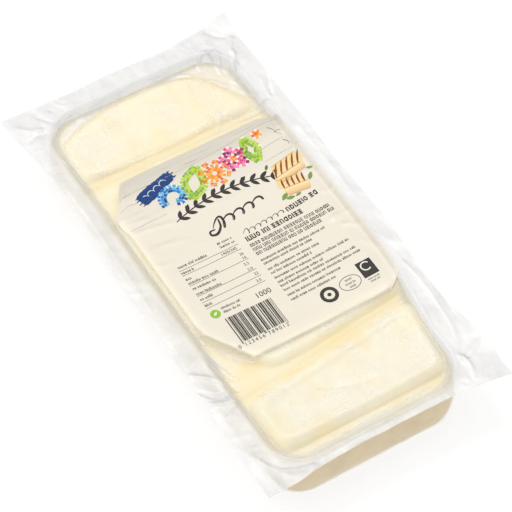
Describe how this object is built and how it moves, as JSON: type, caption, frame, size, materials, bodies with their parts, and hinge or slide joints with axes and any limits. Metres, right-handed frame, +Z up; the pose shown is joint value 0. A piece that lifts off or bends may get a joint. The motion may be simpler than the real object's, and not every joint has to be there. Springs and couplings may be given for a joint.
{
  "type": "vacuum pack of sliced halloumi",
  "caption": "Clear vacuum tray pack of sliced halloumi cheese with a sealed lid film and a cream paper label, lying flat.",
  "frame": {"origin": "middle of the pack's outline, on the surface that the tray lies on", "axes": "+X across the pack, +Y along it towards its far end, +Z up"},
  "size_m": [0.166, 0.3272, 0.0426],
  "materials": {
    "pack": "clear glossy film drawn tight over pale cream cheese",
    "label": "satin cream paper with coloured print"
  },
  "bodies": {
    "root": {"pack": "pack", "label": "label"}
  },
  "joints": []
}
